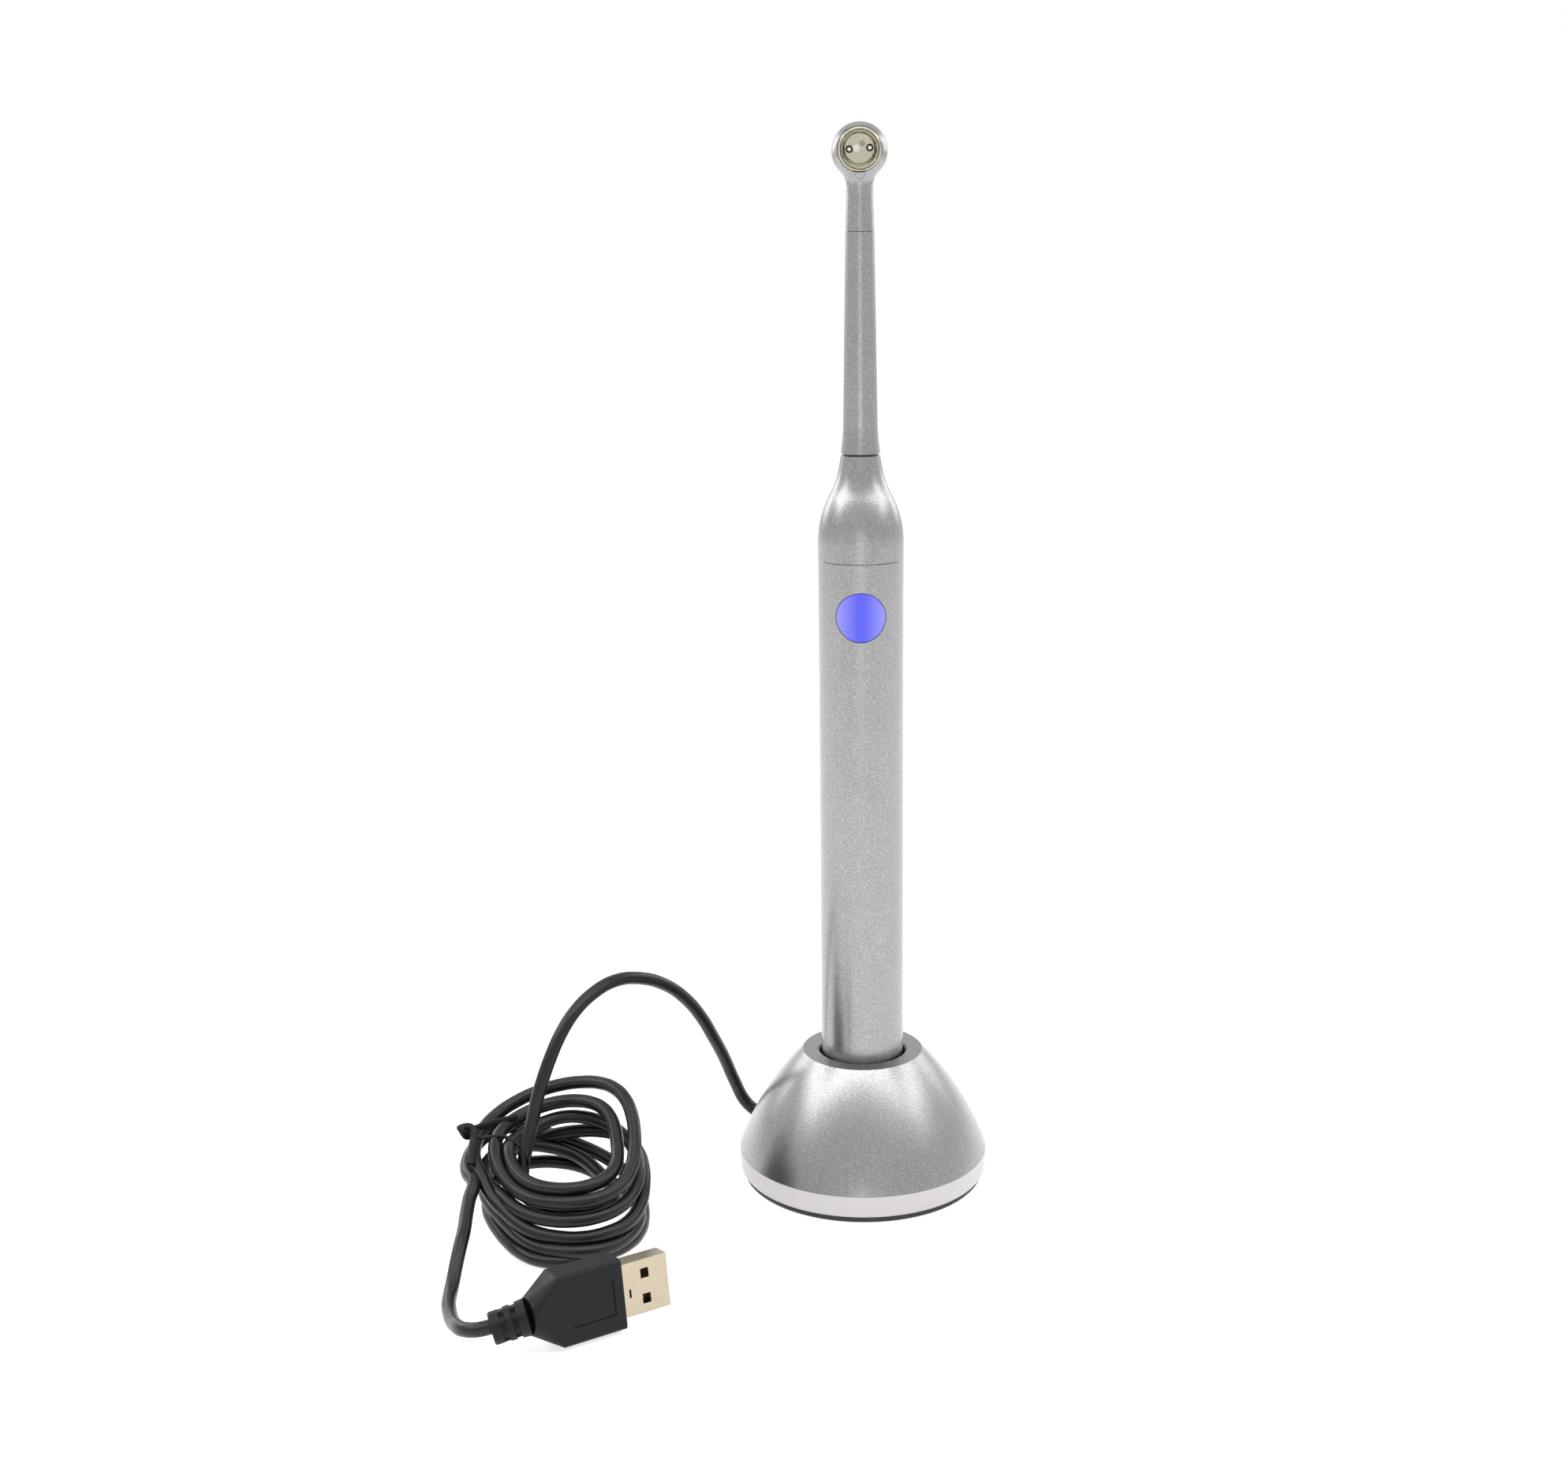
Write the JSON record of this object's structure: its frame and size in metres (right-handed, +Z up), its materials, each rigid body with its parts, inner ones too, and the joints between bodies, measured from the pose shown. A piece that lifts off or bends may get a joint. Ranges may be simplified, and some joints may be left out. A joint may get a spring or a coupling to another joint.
{
  "type": "curing light in charging dock",
  "caption": "Slim cordless dental curing light with a swivel head and push button, standing in a cone-shaped charging dock with a coiled charging cord and flat plug.",
  "frame": {"origin": "centre of the dock's foot, on the table", "axes": "+Z up along the handpiece, -Y towards the side that the lamp and the button face, +X to the right of someone who looks at them"},
  "size_m": [0.1283, 0.1275, 0.2569],
  "materials": {
    "satin_metal": "satin bead-blasted aluminium",
    "pale_ring": "matte pale warm grey",
    "foot_rubber": "matte black rubber",
    "plain_steel": "plain zinc-plated steel",
    "black_plastic": "matte black plastic",
    "white_plastic": "white nylon",
    "board_green": "green circuit board",
    "board_black": "black moulded electronic parts",
    "gold_contact": "gold-plated brass",
    "bezel_nickel": "bright warm nickel plate",
    "reflector_gold": "polished pale gold",
    "header_metal": "dull nickel-plated lamp header",
    "seal_glass": "black glass seal",
    "copper": "plain copper",
    "window_glass": "clear flat glass",
    "button_blue": "glossy translucent blue plastic",
    "cell_wrap": "shrink wrap round the cell",
    "lead_red": "insulated wire",
    "bearing_black": "black acetal",
    "o_ring": "black rubber",
    "cord_black": "smooth black cord jacket",
    "grip_black": "fine-grained black moulding",
    "plug_nickel": "nickel-plated steel"
  },
  "bodies": {
    "dock": {"dock_shell": "satin_metal", "base_ring": "pale_ring", "base_plate": "plain_steel", "rubber_foot": "foot_rubber", "ballast_ring": "plain_steel", "base_screws": "plain_steel", "socket_cup": "black_plastic", "cup_screws": "plain_steel", "dock_board": "board_green", "pin_housing": "black_plastic", "pin_spring_centre": "plain_steel", "pin_spring_outer": "plain_steel", "cord_gland": "grip_black", "cord_inner": "cord_black", "cord_lead": "cord_black", "cord_coil": "cord_black", "cord_tail": "cord_black", "twist_tie": "grip_black", "plug_grip": "grip_black", "plug_shell": "plug_nickel", "plug_tongue": "black_plastic", "plug_contacts": "gold_contact"},
    "handpiece": {"barrel": "satin_metal", "shoulder": "satin_metal", "end_cap": "black_plastic", "charge_pad": "gold_contact", "charge_ring": "gold_contact", "charge_leads": "lead_red", "chassis": "white_plastic", "battery": "cell_wrap", "battery_spring": "plain_steel", "battery_plate": "plain_steel", "control_board": "board_green", "board_parts": "board_black", "switch_body": "board_black", "switch_dome": "plain_steel", "button_guide": "black_plastic", "chassis_screws": "plain_steel", "swivel_bush": "bearing_black", "lead_slack": "lead_red"},
    "head": {"neck_tube": "satin_metal", "swivel_o_ring": "o_ring", "retaining_clip": "plain_steel", "head_casting": "satin_metal", "bezel_ring": "bezel_nickel", "bezel_key": "satin_metal", "lamp_window": "window_glass", "reflector": "reflector_gold", "lamp_header": "header_metal", "pin_seals": "seal_glass", "lamp_pins": "bezel_nickel", "heat_slug": "copper", "lamp_leads": "lead_red"},
    "button": {"push_button": "button_blue", "switch_plunger": "board_black"},
    "pin_centre": {"contact_pin_centre": "gold_contact"},
    "pin_outer": {"contact_pin_outer": "gold_contact"}
  },
  "joints": [
    {"name": "handpiece_lift", "type": "slide", "parent": "dock", "child": "handpiece", "axis": [0, 0, 1], "range_m": [0, 0.04]},
    {"name": "head_rotation", "type": "hinge", "parent": "handpiece", "child": "head", "pos_m": [0, 0, 0.18172], "axis": [0, 0, 1], "range_deg": [-180, 180]},
    {"name": "button_press", "type": "slide", "parent": "handpiece", "child": "button", "axis": [0, 1, 0], "range_m": [0, 0.0005], "stiffness_N_per_m": 600},
    {"name": "contact_press_centre", "type": "slide", "parent": "dock", "child": "pin_centre", "axis": [0, 0, -1], "range_m": [0, 0.0009], "stiffness_N_per_m": 200, "deforming": ["pin_spring_centre"]},
    {"name": "contact_press_outer", "type": "slide", "parent": "dock", "child": "pin_outer", "axis": [0, 0, -1], "range_m": [0, 0.0009], "stiffness_N_per_m": 200, "deforming": ["pin_spring_outer"]}
  ]
}
